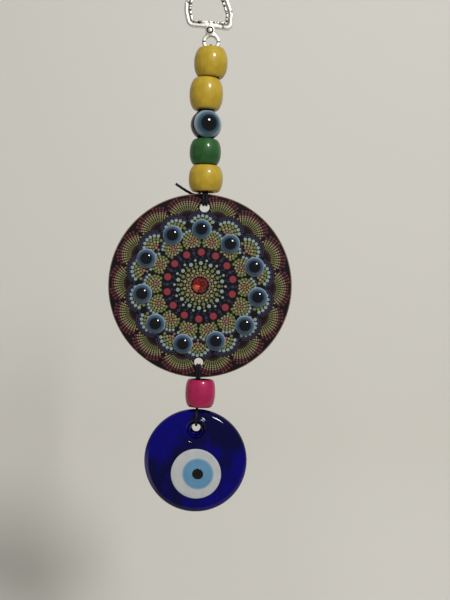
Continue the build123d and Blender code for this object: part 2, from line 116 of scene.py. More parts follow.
class Finish:
    """One finish: constants sit on its shader, and what varies is linked to it."""

    def __init__(self, name, **constants):
        self.material = bpy.data.materials.new(name)
        self.material.use_nodes = True
        self.tree = self.material.node_tree
        self.shader = self.tree.nodes["Principled BSDF"]
        self.set(**constants)
        self.place = self.node("TexCoord", out="Object")

    def feed(self, socket, value):
        """Link an amount to a socket, or set the socket's own value."""
        if isinstance(value, Amount):
            self.tree.links.new(value.socket, socket)
        else:
            socket.default_value = value

    def node(self, kind, settings=None, inputs=None, out=0):
        """Any node: its settings first, then its sockets' values or links."""
        made = self.tree.nodes.new("ShaderNode" + kind)
        for key, value in (settings or {}).items():
            setattr(made, key, value)
        for key, value in (inputs or {}).items():
            self.feed(made.inputs[key], value)
        return Amount(self, made.outputs[out])

    def shifted(self, centre, stretch=(1, 1, 1)):
        """Object coordinates counted from centre, in millimetres, and stretched."""
        moved = {"operation": "SUBTRACT"}
        offset = self.node("VectorMath", moved, {0: self.place, 1: tuple(np.array(centre) * MM)})
        scale = tuple(np.array(stretch) / MM)
        return self.node("VectorMath", {"operation": "MULTIPLY"}, {0: offset, 1: scale})

    def part_of(self, vector):
        """The three numbers of a vector."""
        made = self.node("SeparateXYZ", None, {0: vector}).socket.node
        return [Amount(self, socket) for socket in made.outputs]

    def noise(self, grain, detail=3.0, vector=None, rough=0.5):
        """Cloudy noise with features of about grain millimetres."""
        where = self.shifted((0, 0, 0)) if vector is None else vector
        return self.node("TexNoise", None, {"Vector": where, "Scale": 1 / grain,
                                            "Detail": detail, "Roughness": rough})

    def carried(self, name, colour=False):
        """An amount that the mesh carries at its points."""
        return self.node("Attribute", {"attribute_name": name}, out=0 if colour else 2)

    def mix(self, share, first, second):
        """First colour at share 0, second at 1; a colour may be three numbers from 0 to 255."""
        first, second = (paint(*ink) if isinstance(ink, tuple) else ink
                         for ink in (first, second))
        settings = {"data_type": "RGBA"}
        return self.node("Mix", settings, {0: share, 6: first, 7: second}, out=2)

    def bump(self, height, strength, depth):
        """Surface relief of depth millimetres from a height between 0 and 1."""
        relief = {"Height": height, "Strength": strength, "Distance": depth * MM}
        self.feed(self.shader.inputs["Normal"], self.node("Bump", None, relief))

    def set(self, **values):
        """Feed the shader's sockets, named with _ for each space; returns the material."""
        for name, value in values.items():
            self.feed(self.shader.inputs[name.replace("_", " ")], value)
        return self.material


def cast_metal():
    """Bright cast alloy: polished high places and fine casting grain; grooves, gaps, dimples, the
    moat, the nicks and the back are painted darker and duller, as painted shade.
    """
    f = Finish("cast_metal", Metallic=1.0)
    shade_carried = f.carried("painted_shade")
    clouds = f.noise(1.1, 4)
    grain = f.noise(0.16, 2)
    # Painted shade: the metal turns dark and dull where the hanger's parts carry shade in their
    # recesses and on the back.
    shaded = (shade_carried + (clouds - 0.5) * 0.5 * shade_carried).rise(0.1, 0.8)
    bright = f.mix(clouds.rise(0.35, 0.7), (244, 241, 232), (222, 218, 208))
    f.bump(grain * 0.5 + clouds * 0.5, 0.3, 0.05)
    return f.set(Base_Color=f.mix(shaded, bright, (52, 48, 42)),
                 Roughness=0.44 + grain * 0.1 + shaded * 0.2)


def waxed_cord():
    """Black waxed cord: dull fibres with a little shine on the crowns of its strands."""
    f = Finish("waxed_cord", Specular_IOR_Level=0.25)
    crown = f.carried("crown")
    fibre = f.noise(0.06, 2)
    f.bump(fibre * 0.7 + crown * 0.3, 0.6, 0.05)
    return f.set(Base_Color=f.mix(crown * 0.6 + fibre * 0.4, (7, 7, 9), (26, 27, 32)),
                 Roughness=0.62 - crown * 0.18)


def stained_wood(name, body, dark, pore_and_shade, centre):
    """Stained and varnished wood: streaks along the bore, darker blotches and fine pores, with
    painted shade on the ends and in the bore.
    """
    f = Finish(name, Coat_Roughness=0.12, Specular_IOR_Level=0.2)
    streak = f.noise(0.75, 5, f.shifted(centre, (1, 1, 0.16)), 0.62)
    blotch = f.noise(3.2, 3, f.shifted(centre))
    pores = f.noise(0.2, 2, f.shifted(centre, (1, 1, 0.25))).rise(0.62, 0.78)
    x, y, _ = f.part_of(f.shifted(centre))
    # Painted shade: the ends and the bore turn towards the pore colour, where the beads meet.
    bore_shade = 1 - ((x * x + y * y) ** 0.5).rise(2.6, 4.0)
    tone = 0.25 + streak.rise(0.3, 0.72) * 0.25 + blotch.rise(0.3, 0.7) * 0.5
    stain = f.mix(tone, dark, body)
    stain = f.mix(pores * 0.3, stain, pore_and_shade)
    stain = f.mix(bore_shade * 0.75, stain, pore_and_shade)
    f.bump(streak * 0.6 - pores * 0.6, 0.2, 0.05)
    return f.set(Base_Color=stain, Roughness=0.36 + blotch * 0.16, Coat_Weight=0.5 - pores * 0.2)


def resin(name, body, tint, centre, gloss=0.07):
    """Cast resin: one colour with a faint swirl, under a polished skin."""
    f = Finish(name, Coat_Roughness=0.03, Coat_Weight=0.6, Specular_IOR_Level=0.1)
    swirl = f.noise(1.4, 4, f.shifted(centre), 0.6)
    return f.set(Base_Color=f.mix(swirl.rise(0.3, 0.7), body, tint), Roughness=gloss + swirl * 0.05)


def layered_resin(name, inner, body, outer):
    """Cast resin ring whose tone runs from its inner edge out to its rim."""
    f = Finish(name, Coat_Roughness=0.03, Coat_Weight=0.6, Roughness=0.08, Specular_IOR_Level=0.1)
    share = f.carried("share") + (f.noise(0.5, 2) - 0.5) * 0.1
    tone = f.mix(share.rise(0.0, 0.5), inner, body)
    return f.set(Base_Color=f.mix(share.rise(0.45, 0.95), tone, outer))


def fibreboard(centre, reach):
    """Bare fibreboard: felted brown fibres, browner where the laser cut its edge."""
    f = Finish("fibreboard", Specular_IOR_Level=0.25)
    x, _, z = f.part_of(f.shifted(centre))
    edge = ((x * x + z * z) ** 0.5).rise(reach - 0.5, reach - 0.05)
    fibre = f.noise(0.5, 5, f.shifted(centre, (1, 2.5, 0.45)), 0.7)
    fleck = f.noise(0.28, 2, f.shifted(centre, (0.5, 2, 1))).rise(0.6, 0.72)
    felt = f.mix(fibre.rise(0.25, 0.75), (132, 104, 78), (168, 139, 108))
    felt = f.mix(fleck * 0.5, felt, (96, 70, 48))
    f.bump(fibre + fleck * 0.5, 0.4, 0.08)
    return f.set(Base_Color=f.mix(edge * (0.35 + fibre * 0.3), felt, (92, 70, 54)),
                 Roughness=0.75 + fibre * 0.15)


def printed_ground(centre):
    """The print's near-black ground with faint plum and navy clouds under clear varnish."""
    f = Finish("printed_ground", Specular_IOR_Level=0.12)
    cloud = f.noise(4.0, 3, f.shifted(centre))
    grain = f.noise(0.12, 2)
    ink = f.mix(cloud.rise(0.35, 0.65), (15, 12, 13), (14, 15, 21))
    f.bump(grain, 0.12, 0.02)
    return f.set(Base_Color=f.mix(grain.rise(0.4, 0.8) * 0.3, ink, (32, 30, 32)),
                 Roughness=0.5 + grain * 0.12)


def printed_dots():
    """Inks of the dots, each with a little mottle."""
    f = Finish("printed_dots", Specular_IOR_Level=0.12)
    grain = f.noise(0.1, 2)
    ink = f.carried("ink", colour=True)
    return f.set(Base_Color=f.mix(grain.rise(0.35, 0.8) * 0.2, ink, (48, 45, 42)),
                 Roughness=0.5 + grain * 0.1)


def cut_stone():
    """Red acrylic stone: dark red facets, and brighter orange ones that are a painted glint of the
    light its foil back throws.
    """
    f = Finish("cut_stone", Coat_Weight=0.6, Coat_Roughness=0.02, IOR=1.5, Specular_IOR_Level=0.2)
    # Painted glint: facets marked by the stone's glint attribute turn bright red and orange.
    painted_glint = f.carried("painted_glint")
    deep = f.noise(0.35, 2)
    red = f.mix(painted_glint.rise(0.0, 0.6), (58, 16, 16), (140, 30, 22))
    fire = f.mix(deep.rise(0.4, 0.65), (180, 52, 26), (240, 128, 90))
    return f.set(Base_Color=f.mix(painted_glint.rise(0.55, 0.95), red, fire), Roughness=0.06 + deep * 0.05)


def cobalt_glass(centre, reach):
    """Deep cobalt glass with seed bubbles; its lighter blue streaks are partly painted light shining
    through, and its lower left edge has a painted lavender rim light.
    """
    f = Finish("cobalt_glass", Coat_Weight=0.5, Coat_Roughness=0.06, IOR=1.5, Specular_IOR_Level=0.0)
    spot = f.shifted(centre)
    x, _, z = f.part_of(spot)
    out = (x * x + z * z) ** 0.5
    streak = f.noise(7.0, 3, f.shifted(centre, (1.5, 1, 0.8)), 0.5)
    seeds = f.noise(0.35, 1, spot).rise(0.74, 0.78)
    # Painted light: lighter blue in streaks and towards the upper left, lower right and bottom, as
    # light shining through.
    lit = (streak - x * z * 0.002 - z * 0.004).rise(0.36, 0.66)
    tone = f.mix(lit, (4, 3, 50), (4, 1, 98))
    # Painted rim light: a pale lavender band along the lower left edge.
    edge = out.rise(reach - 1.7, reach - 1.1) * (0 - x).rise(10.5, 14.5) * (0 - z).rise(-5.0, 2.0)
    tone = f.mix(edge * 0.35, tone, (112, 104, 160))
    tone = f.mix(seeds * 0.3, tone, (70, 80, 170))
    f.bump(streak, 0.2, 0.15)
    return f.set(Base_Color=tone, Roughness=0.05 + seeds * 0.1)


def fused_glass(name, body, tint, centre, blue=None, halo=None):
    """Opaque fused glass with faint clouds; with blue and halo, tinted around the blue dot."""
    f = Finish(name, Coat_Roughness=0.04, Coat_Weight=0.5, Specular_IOR_Level=0.1)
    cloud = f.noise(3.5, 3, f.shifted(centre), 0.5)
    tone = f.mix(cloud.rise(0.35, 0.65), body, tint)
    if halo:
        x, _, z = f.part_of(f.shifted(blue))
        out = (x * x + z * z) ** 0.5 + (cloud - 0.5) * 0.3
        tone = f.mix(out.rise(4.7, 5.35), halo, tone)
    return f.set(Base_Color=tone, Roughness=0.08 + cloud * 0.05)


def plain_plaster():
    """Pale backdrop, plain, that can't be seen from behind."""
    f = Finish("plain_plaster", Specular_IOR_Level=0.1)
    f.set(Base_Color=paint(216, 213, 205), Roughness=0.9)
    clear = f.node("BsdfTransparent")
    back = f.node("NewGeometry", out="Backfacing")
    shown = f.node("MixShader", None, {0: back, 1: Amount(f, f.shader.outputs[0]), 2: clear})
    f.feed(f.tree.nodes["Material Output"].inputs[0], shown)
    return f.material


# ---------------- shapes


def web(points, close_rows=False, close_columns=True, first=None, last=None):
    """Faces over a grid whose rows run along a shape and columns around it.

    A point given as first or last closes that end with a fan.
    """
    rows, columns = points.shape[:2]
    number = np.arange(rows * columns).reshape(rows, columns)
    if close_rows:
        number = np.vstack([number, number[:1]])
    if close_columns:
        number = np.hstack([number, number[:, :1]])
    corners = number[:-1, :-1], number[:-1, 1:], number[1:, 1:], number[1:, :-1]
    faces = np.stack(corners, axis=-1).reshape(-1, 4).tolist()
    flat = points.reshape(-1, 3)
    for tip, row in ((first, number[0]), (last, number[-1])):
        if tip is not None:
            flat = np.vstack([flat, tip])
            tips = np.full_like(row[1:], len(flat) - 1)
            faces += np.stack([row[:-1], row[1:], tips], 1).tolist()
    return flat, faces


def piece(name, body, parts, finish, stands_for=(), smooth=True, carries=None, crease=40):
    """Mesh from one or more (points, faces), turned face out, riding on a body."""
    points = np.vstack([p for p, _ in parts])
    starts = np.cumsum([0] + [len(p) for p, _ in parts])
    faces = [[v + int(start) for v in face]
             for (_, group), start in zip(parts, starts) for face in group]
    mesh = bpy.data.meshes.new(name)
    mesh.from_pydata((points * MM).tolist(), [], faces)
    for key, values in (carries or {}).items():
        kind, field = ("FLOAT_COLOR", "color") if np.ndim(values) == 2 else ("FLOAT", "value")
        layer = mesh.attributes.new(key, kind, "POINT")
        layer.data.foreach_set(field, np.asarray(values, float).ravel())
    work = bmesh.new()
    work.from_mesh(mesh)
    bmesh.ops.recalc_face_normals(work, faces=work.faces)
    work.to_mesh(mesh)
    work.free()
    mesh.polygons.foreach_set("use_smooth", [smooth] * len(mesh.polygons))
    if smooth and crease:
        mesh.set_sharp_from_angle(angle=math.radians(crease))
    mesh.materials.append(finish)
    made = bpy.data.objects.new(name, mesh)
    scene.collection.objects.link(made)
    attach(made, body)
    if stands_for:
        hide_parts(*stands_for)
    return made


def all_round(count):
    """Angles of evenly spaced places around a whole turn, in radians."""
    return np.linspace(0, TURN, count, endpoint=False)


def even(points, step, closed=False):
    """Points at even steps along the straight runs between the given points."""
    if closed:
        points = np.vstack([points, points[:1]])
    run = np.concatenate([[0], np.cumsum(np.linalg.norm(np.diff(points, axis=0), axis=1))])
    count = max(4, int(round(run[-1] / step)))
    at = np.linspace(0, run[-1], count + 1)
    if closed:
        at = at[:-1]
    return np.stack([np.interp(at, run, column) for column in points.T], axis=1)


def soften(points, spread, step=0.1):
    """Closed outline at even steps, its corners rounded by a moving average over spread."""
    fine = even(np.array(points, float), step, closed=True)
    reach = int(3 * spread / step)
    weight = np.exp(-0.5 * (np.arange(-reach, reach + 1) * step / spread) ** 2)
    weight /= weight.sum()
    padded = np.vstack([fine[-reach:], fine, fine[:reach]])
    return np.stack([np.convolve(column, weight, "valid") for column in padded.T], axis=1)


def turned(profile, centre, columns, front=False, look=0.0, capped=False):
    """Profile (distance from the axis, height along it) carried once around an axis.

    The axis is Z, or, with front, the line towards the viewer turned look radians right.
    The profile is a closed outline or, where it is capped, a line whose ends lie on the axis.
    """
    angle = all_round(columns)
    profile = np.array(profile, float)
    reach, height = profile[:, :1], profile[:, 1:]
    sine, cosine = math.sin(look), math.cos(look)
    axes = np.array([(cosine, sine, 0), (0, 0, 1), (sine, -cosine, 0)]) if front else np.eye(3)
    places = np.broadcast_arrays(reach * np.cos(angle), reach * np.sin(angle), height)
    grid = np.stack(places, axis=-1) @ axes + centre
    if not capped:
        return web(grid, close_rows=True)
    first, last = (tall * axes[2] + centre for tall in height[[0, -1], 0])
    return web(grid[1:-1], first=first, last=last)


def fitted(profile, reach, tall):
    """Profile stretched to a reach from its axis and a half height."""
    return profile * [reach, tall] / np.abs(profile).max(0)


def eye_layer(name, body, node, finish, face, floor, centre, columns, look=0.0, crease=40):
    """One layer of an eye: a face, given from its outer edge inwards, over a flat floor.

    It is a ring, or a dot where the face reaches the axis. Its points carry their share of
    the way from the inner edge to the outer one.
    """
    outer, inner = face[0, 0], face[-1, 0]
    under = [(inner, floor), (outer, floor)]
    profile = np.vstack([face, under] if inner else [under, face])
    mesh = turned(profile, centre, columns, True, look, capped=not inner)
    facing = np.array([math.sin(look), -math.cos(look), 0])
    out = np.linalg.norm(np.cross(mesh[0] - centre, facing), axis=1)
    piece(name, body, [mesh], finish, (node,), crease=crease,
          carries={"share": np.clip((out - inner) / (outer - inner), 0, 1)})


def unit(vectors):
    """Vectors made one long."""
    return vectors / np.linalg.norm(vectors, axis=-1, keepdims=True)


def bell(away, width, power=2):
    """1 where away is 0, falling to 1/e at width: e to minus (away / width) to a power."""
    return np.exp(-((away / width) ** power))


def squarish(wave, power):
    """A sine or cosine with its sign kept and its size raised to power: 1 is round, 0 square."""
    return np.sign(wave) * np.abs(wave) ** power


def bent(corners, bends, step=0.12):
    """Straight runs joined by arcs of the given radii, as points at even steps."""
    corners = np.array(corners, float)
    runs = [corners[:1]]
    for before, corner, after, bend in zip(corners, corners[1:], corners[2:], bends):
        back, on = unit(before - corner), unit(after - corner)
        half = math.acos(float(np.clip(back @ on, -1, 1))) / 2
        centre = corner + unit(back + on) * bend / math.sin(half)
        first = corner + back * bend / math.tan(half) - centre
        second = corner + on * bend / math.tan(half) - centre
        swing = math.pi - 2 * half
        share = np.linspace(0, 1, 14)[:, None]
        arc = np.sin((1 - share) * swing) * first + np.sin(share * swing) * second
        runs.append(centre + arc / math.sin(swing))
    runs.append(corners[-1:])
    return even(np.vstack(runs), step)


def rope(path, radius, across, phase=0.0, closed=False):
    """Twisted cord along a path: a circle with three shallow lobes that wind as it goes.

    A point's distance from the path is the radius times 0.86 plus 0.14 of its crown. The crown
    is the size of the cosine of 1.5 times its angle, counted from where the lay has turned to.
    Returns the mesh and the crown of each point.
    """
    lay = 0.55
    joined = np.roll(path, -1, 0) - np.roll(path, 1, 0)
    ahead = unit(joined if closed else np.gradient(path, axis=0))
    side = unit(np.cross(ahead, across))
    rise = np.cross(side, ahead)
    step = np.linalg.norm(np.diff(path, axis=0), axis=1)
    run = np.concatenate([[0], np.cumsum(step)])[:, None]
    angle = all_round(24)[None]
    crown = np.abs(np.cos(1.5 * (angle - lay * run / radius + phase)))
    reach = radius * (0.86 + 0.14 * crown)
    ring = reach[..., None] * (np.cos(angle)[..., None] * side[:, None]
                               + np.sin(angle)[..., None] * rise[:, None])
    grid = path[:, None] + ring
    if closed:
        return web(grid, close_rows=True), crown.ravel()
    mesh = web(grid, first=path[0], last=path[-1])
    return mesh, np.append(crown.ravel(), [0.3, 0.3])


# ---------------- camera and light


def stand(thing, right, up, back, place):
    """Put a camera or lamp in the scene: its right, its up, its backward direction, its place."""
    thing.matrix_world = Matrix([*np.stack([right, up, back, place], 1).tolist(), (0, 0, 0, 1)])
    scene.collection.objects.link(thing)


LEAN = math.radians(2.22)   # the camera leans, so that the plumb hanging leans in its view
DISTANCE = 300.0
AIM = (7.84, -102.1)        # x and z of the view's middle
HALF_VIEW = 98.4            # half of the view's height where the hanging is
HALF_SENSOR = 18.0
camera_data = bpy.data.cameras.new("camera")
camera_data.lens = HALF_SENSOR * DISTANCE / HALF_VIEW
camera_data.clip_start = 0.01
camera = bpy.data.objects.new("camera", camera_data)
tilt, level = math.sin(LEAN), math.cos(LEAN)
stand(camera, (level, 0, tilt), (-tilt, 0, level), (0, -1, 0),
      (AIM[0] * MM, -DISTANCE * MM, AIM[1] * MM))
bpy.context.scene.camera = camera
scene.view_settings.view_transform = "Standard"
LIT_POINT = np.array([0, 0, -0.1])      # what the lamps are aimed at, in metres


def softbox(name, place, size, power, mirrored=False):
    """Square lamp aimed at the middle of the hanging, in metres; gloss shows it if mirrored."""
    lamp = bpy.data.lights.new(name, "AREA")
    lamp.size = size
    lamp.energy = power
    made = bpy.data.objects.new(name, lamp)
    made.visible_glossy = mirrored
    place = np.array(place, float)
    back = unit(place - LIT_POINT)
    right = unit(np.cross([0, 0, 1], back))
    stand(made, right, np.cross(back, right), back, place)


softbox("key", (0.30, -0.62, 0.36), 0.15, 4.8, mirrored=True)
softbox("canopy", (0.05, -0.60, 0.30), 0.5, 1.8)
softbox("fill", (-0.60, -0.45, -0.05), 0.5, 0.5)


def pale_room():
    """World: dim grey light, seen as a pale ground where a view or the glass misses the sheet."""
    world = bpy.data.worlds.new("world")
    scene.world = world
    world.use_nodes = True
    tree = world.node_tree
    rays = tree.nodes.new("ShaderNodeLightPath")
    ambient, strength = 0.17, None
    seen = {"Is Camera Ray": 0.5, "Is Transmission Ray": 0.5, "Is Glossy Ray": 0.06}
    for ray, more in seen.items():
        step = tree.nodes.new("ShaderNodeMath")
        step.operation = "MULTIPLY_ADD"
        step.inputs[1].default_value = more
        step.inputs[2].default_value = ambient
        tree.links.new(rays.outputs[ray], step.inputs[0])
        if strength:
            tree.links.new(strength, step.inputs[2])
        strength = step.outputs[0]
    sky = tree.nodes["Background"]
    sky.inputs[0].default_value = (0.90, 0.90, 0.88, 1)
    tree.links.new(strength, sky.inputs[1])


pale_room()


def backdrop():
    """Seamless pale sheet, in metres: flat floor in front, a quarter round, and a wall behind."""
    floor, wall, bend, front, top, side = -0.30, 0.24, 0.12, -0.12, 0.55, 0.7
    angle = np.linspace(0, math.pi / 2, 17)
    curve = np.stack([wall - bend + bend * np.sin(angle), floor + bend - bend * np.cos(angle)], 1)
    line = np.vstack([[(front, floor)], curve, [(wall, top)]])
    width = np.array([[-side, side]])
    grid = np.stack(np.broadcast_arrays(width, line[:, :1], line[:, 1:]), axis=-1)
    points, faces = web(grid, close_columns=False)
    mesh = bpy.data.meshes.new("backdrop")
    mesh.from_pydata(points.tolist(), [], faces)
    mesh.polygons.foreach_set("use_smooth", [True] * len(mesh.polygons))
    mesh.materials.append(plain_plaster())
    sheet = bpy.data.objects.new("backdrop", mesh)
    scene.collection.objects.link(sheet)


backdrop()

# ---------------- cast hanger

EYELET = -17.8      # height of the eyelet's centre
RING = 2.35         # from the eyelet's centre to the middle of its wire
WIRE = 0.65         # half the eyelet's wire
BAR = 2.4           # width of the bar around the opening
THICK = 1.8         # thickness of the bar
# Corners of the outer outline: x, height above the eyelet's centre, radius
CORNERS = [(-7.9, 4.8, 2.4), (-9.4, 10.5, 9.0), (-7.4, 20.2, 4.6), (2.6, 20.2, 3.4),
           (6.9, 9.6, 5.0), (6.5, 4.2, 0.7)]
TIGHTEST = 1.06     # smallest radius of the bar's middle line
# Middles of the small rings sunk into the bar's face: x, height above the eyelet's centre
DIMPLES = [(-8.15, 12.6), (-4.1, 6.3), (-1.1, 6.1), (0.6, 6.1), (3.5, 4.85), (6.45, 10.0),
           (4.4, 15.0), (-7.9, 17.5)]
NECK_SHIFT = -0.5   # the neck and its boss stand a little left of the eyelet


def bar_path(step):
    """Middle line of the bar: the outline's corners moved in by half a bar, joined by arcs.

    It runs clockwise, so the outside is on its left. Returns its points, the outward direction
    at each, and the lower right corner.
    """
    shape = np.array(CORNERS)
    corners = np.stack([shape[:, 0], EYELET + shape[:, 1]], 1)
    along = unit(np.roll(corners, -1, 0) - corners)
    out = np.stack([-along[:, 1], along[:, 0]], 1)
    before = np.roll(out, 1, 0)
    turn = 1 + np.sum(out * before, 1, keepdims=True)
    mid = corners - (out + before) / turn * BAR / 2
    radii = np.maximum(shape[:, 2] - BAR / 2, TIGHTEST)
    start = (mid[2] + mid[3]) / 2
    order = [3, 4, 5, 0, 1, 2]
    path = bent([start, *mid[order], start], radii[order], step)[:-1]
    ahead = unit(np.roll(path, -1, 0) - np.roll(path, 1, 0))
    return path, np.stack([-ahead[:, 1], ahead[:, 0]], 1), mid[5]


def hanger_bar():
    """Closed bar whose section is a squarish ellipse with a groove along its face.

    u runs outwards, as a cosine to the power 0.5, and v forwards, as a sine to 0.3. The groove
    parts a smooth outer band from an inner rim of cast lumps, whose gaps wander along the run,
    and both fade out on the middle of the lower run. Small rings are sunk into the face, and
    the lower right corner is drawn out.
    """
    step, pitch = 0.14, 1.5
    path, outward, corner = bar_path(step)
    run = np.arange(len(path)) * step
    whole = len(path) * step
    angle = all_round(64)[None]
    u = squarish(np.cos(angle), 0.5) * BAR / 2 + 0 * run[:, None]
    v = squarish(np.sin(angle), 0.3) * THICK / 2 + 0 * run[:, None]
    front = np.clip(v / (THICK / 2), 0, 1)

    low_run = path[:, 1] < EYELET + 7.5
    plain = (bell(path[:, 0] + 1.0, 2.4, 4) * low_run)[:, None]
    groove = bell(u + 0.18, 0.22) * (1 - plain)
    v -= 0.5 * groove * (v > 0)
    lump = whole / round(whole / pitch)
    wander = 0.35 * np.sin(run * 0.9) + 0.25 * np.sin(run * 2.3 + 1)
    gap = bell((run + wander) % lump - lump / 2, 0.2)[:, None] * (1 - 0.8 * plain)
    inner = np.clip((-0.36 - u) / 0.3, 0, 1)
    u += 0.38 * gap * inner
    v *= 1 - 0.42 * gap * inner

    sink = np.zeros_like(u)
    here = path[:, None] + u[..., None] * outward[:, None]
    for x, z in DIMPLES:
        away = np.linalg.norm(here - np.array([x, EYELET + z]), axis=-1)
        sink = np.maximum(sink, bell(away - 0.28, 0.17) * front)
    v -= 0.16 * sink
    near = bell(np.linalg.norm(path - corner, axis=1), 0.9)[:, None]
    u += 0.42 * near * np.clip(u / (BAR / 2), 0, 1)
    here = path[:, None] + u[..., None] * outward[:, None]
    grid = np.stack([here[..., 0], -v, here[..., 1]], axis=-1)
    # Painted shade: darker in the groove, the gaps between lumps and the dimples, and over the whole
    # back of the bar.
    painted_shade = np.clip(groove * front * 1.1 + gap * inner * 0.9 + sink * 0.65, 0, 1)
    painted_shade = np.maximum(painted_shade, 0.375 * (v < -THICK * 0.3))
    return web(grid, close_rows=True), painted_shade.ravel()


def hanger_neck():
    """Flat neck, a squarish ellipse in section, flared at both ends.

    Its half width is 1.42, plus 2.2 times a ramp to the power 1.8 up into the bar and 0.75
    times a ramp to the power 1.4 down into the eyelet.
    """
    height = np.linspace(2.0, 5.9, 34)
    half = 1.42 + 2.2 * np.clip((height - 3.7) / 2.2, 0, 1) ** 1.8
    half += 0.75 * np.clip((3.3 - height) / 1.3, 0, 1) ** 1.4
    centre = NECK_SHIFT * np.clip((height - 2.2) / 1.2, 0, 1)
    angle = all_round(48)
    x = centre[:, None] + half[:, None] * squarish(np.cos(angle), 0.4)
    y = -0.84 * squarish(np.sin(angle), 0.3) + 0 * x
    z = EYELET + height[:, None] + 0 * x
    tips = [np.array([centre[k], 0, EYELET + height[k]]) for k in (0, -1)]
    mesh = web(np.stack([x, y, z], axis=-1), first=tips[0], last=tips[1])
    return mesh, np.full(len(mesh[0]), 0.05)


def hanger_boss():
    """Round boss: a profile with a raised rim, a sunk moat and a domed stud, turned around."""
    profile = even(np.array([(0, 0), (1.48, 0), (1.48, 0.94), (1.42, 1.0), (1.22, 1.02),
                             (1.16, 0.84), (0.82, 0.84), (0.72, 1.04), (0.5, 1.14),
                             (0.25, 1.2), (0, 1.22)]), 0.05)
    centre = np.array([NECK_SHIFT, -0.05, EYELET + 3.7])
    mesh = turned(profile, centre, 40, front=True, capped=True)
    out = np.linalg.norm(mesh[0][:, [0, 2]] - centre[[0, 2]], axis=1)
    # Painted shade in the sunk moat around the stud.
    moat = 0.8 * bell(out - 0.97, 0.24, 4)
    return mesh, np.clip(moat, 0, 1)


def hanger_eyelet():
    """Cast ring: a squarish ellipse carried round a circle, thinned by a bell at either side."""
    around, angle = all_round(96)[:, None], all_round(24)[None]
    nick = bell(np.sin(around), 0.075)
    wire = WIRE - 0.13 * nick
    reach = RING + wire * squarish(np.cos(angle), 0.55)
    grid = np.stack([reach * np.cos(around), -wire * squarish(np.sin(angle), 0.5),
                     EYELET + reach * np.sin(around)], axis=-1)
    # Painted shade in the nicks at either side of the ring.
    painted_shade = nick + 0 * angle
    return web(grid, close_rows=True), painted_shade.ravel()


castings = [hanger_bar(), hanger_neck(), hanger_boss(), hanger_eyelet()]
piece("hanger_casting", "hanger", [mesh for mesh, _ in castings], cast_metal(), ("hanger_frame",),
      carries={"painted_shade": np.concatenate([shading for _, shading in castings])}, crease=55)

# ---------------- beads


def wooden_bead(name, node, body, finish, end, foot, bore, rounding, fullness):
    """Turned bead: bulging side, flat ends and a wide bore, all corners softened.

    The side's distance from the axis is the end face's radius, plus the bulge times one less
    the height's power of fullness. The upper end face has the radius end, the lower one foot.
    """
    reach, _, tall = half_size(node)
    rise = np.linspace(-1, 1, 25)
    face = np.where(rise > 0, end, foot)
    side = np.stack([face + (reach - face) * (1 - np.abs(rise) ** fullness), tall * rise], 1)
    profile = fitted(soften([(bore, tall), (bore, -tall), *side], rounding), reach, tall)
    piece(name, body, [turned(profile, middle(node), 96)], finish, (node,), crease=0)


# A stain is the body's colour, that of its darker clouds, and that of its pores, which also paints
# the shade on the ends and in the bore.
# A bead's shape is the radii of its upper end, its lower end and its bore, the rounding of its
# corners, and the fullness of its side.
yellow = (184, 156, 48), (158, 128, 30), (118, 90, 20)
green = (42, 90, 40), (24, 62, 26), (16, 40, 16)
pink = (166, 30, 80), (142, 20, 64), (96, 10, 40)
for name, node, body, stain, shape in (
    ("yellow_bead_1", "bead_yellow_top", "top_bead", yellow, (3.9, 3.9, 2.7, 0.5, 2.5)),
    ("yellow_bead_2", "bead_yellow_second", "second_bead", yellow, (4.0, 4.0, 2.7, 0.6, 2.5)),
    ("yellow_bead_3", "bead_yellow_bottom", "bottom_bead", yellow, (4.3, 4.3, 2.95, 0.36, 2.5)),
    ("green_bead", "bead_green", "green_bead", green, (3.9, 3.9, 2.7, 0.5, 2.5)),
    ("pink_bead", "bead_pink", "pink_bead", pink, (4.15, 3.6, 3.2, 0.95, 2.8)),
):
    wood = stained_wood(name + "_wood", *stain, middle(node))
    wooden_bead(name, node, body, wood, *shape)


def eye_bead():
    """Round bead of dark glass: a circle's arc turned around the bore, with an eye in front.

    The eye's layers are caps of slightly larger balls, and it looks 14 degrees to the right.
    """
    centre = middle("eye_bead_body")
    centre[1] = 0
    reach, _, tall = half_size("eye_bead_body")
    bore, sunk, look = 1.5, 0.25, math.radians(14)
    tip = math.asin(tall / reach)
    bow = np.linspace(-tip, tip, 60)
    ball = np.stack([reach * np.cos(bow), reach * np.sin(bow)], 1)
    profile = soften([(bore, tall), (bore, -tall), *ball], 0.1, 0.05)
    profile[:, 0] *= reach / profile[:, 0].max()
    piece("eye_bead_ball", "eye_bead", [turned(profile, centre, 72)],
          resin("eye_bead_navy", (24, 24, 38), (34, 35, 50), centre),
          ("eye_bead_body",), crease=0)
    layers = (
        ("eye_bead_pale_ring", "eye_bead_white", 3.66, 4.52, 0.03,
         ((92, 116, 130), (124, 142, 150), (152, 162, 172))),
        ("eye_bead_blue_ring", "eye_bead_iris", 2.45, 3.70, 0.02,
         ((28, 42, 50), (50, 78, 92), (70, 100, 114))),
        ("eye_bead_black_dot", "eye_bead_pupil", 0, 2.50, 0.04,
         ((12, 13, 14), (12, 13, 14), (18, 20, 22))),
    )
    for name, node, inner, outer, proud, tints in layers:
        span = np.linspace(outer, inner, 22)
        face = np.stack([span, np.sqrt((reach + proud) ** 2 - span**2)], 1)
        eye_layer(name, "eye_bead", node, layered_resin(name + "_resin", *tints), face,
                  face[0, 1] - sunk, centre, 64, look)


eye_bead()

# ---------------- cords and knots

cord = waxed_cord()
THICK_CORD, THIN_CORD = 0.46, 0.40


def strung(name, body, node, runs, radius, across=(1, 0, 0)):
    """Twisted cords along their runs, as one piece."""
    made = [rope(run, radius, across, phase) for phase, run in enumerate(runs)]
    piece(name, body, [mesh for mesh, _ in made], cord, (node,),
          carries={"crown": np.concatenate([crown for _, crown in made])}, crease=0)


def upright(x, y, low, high):
    """Straight run of a cord from low to high."""
    return even(np.array([(x, y, low), (x, y, high)]), 0.12)


